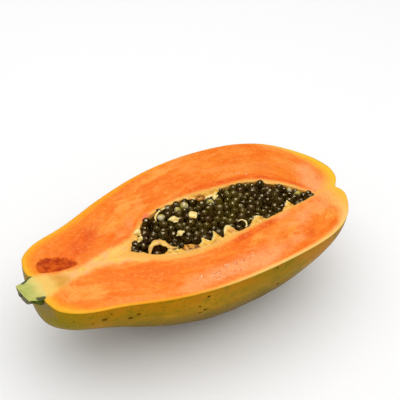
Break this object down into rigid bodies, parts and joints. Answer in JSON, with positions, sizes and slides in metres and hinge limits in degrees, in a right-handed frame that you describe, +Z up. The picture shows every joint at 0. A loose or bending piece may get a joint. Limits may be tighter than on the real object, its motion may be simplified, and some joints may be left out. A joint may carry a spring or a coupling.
{
  "type": "halved papaya",
  "caption": "Half of a ripe papaya cut lengthwise, with its stalk stub and its dark seeds in the open cavity, lying cut face up.",
  "frame": {"origin": "on the surface that the half fruit rests on, under the middle of its bounding box", "axes": "+X from the stalk to the blossom end, +Z up out of the level cut face, +Y across the fruit to its far side"},
  "size_m": [0.2736, 0.1388, 0.0749],
  "materials": {
    "flesh": "satin",
    "stem": "matte",
    "seed": "gloss"
  },
  "bodies": {
    "root": {"fruit_half": "flesh", "stem_stub": "stem", "seeds": "seed"}
  },
  "joints": []
}
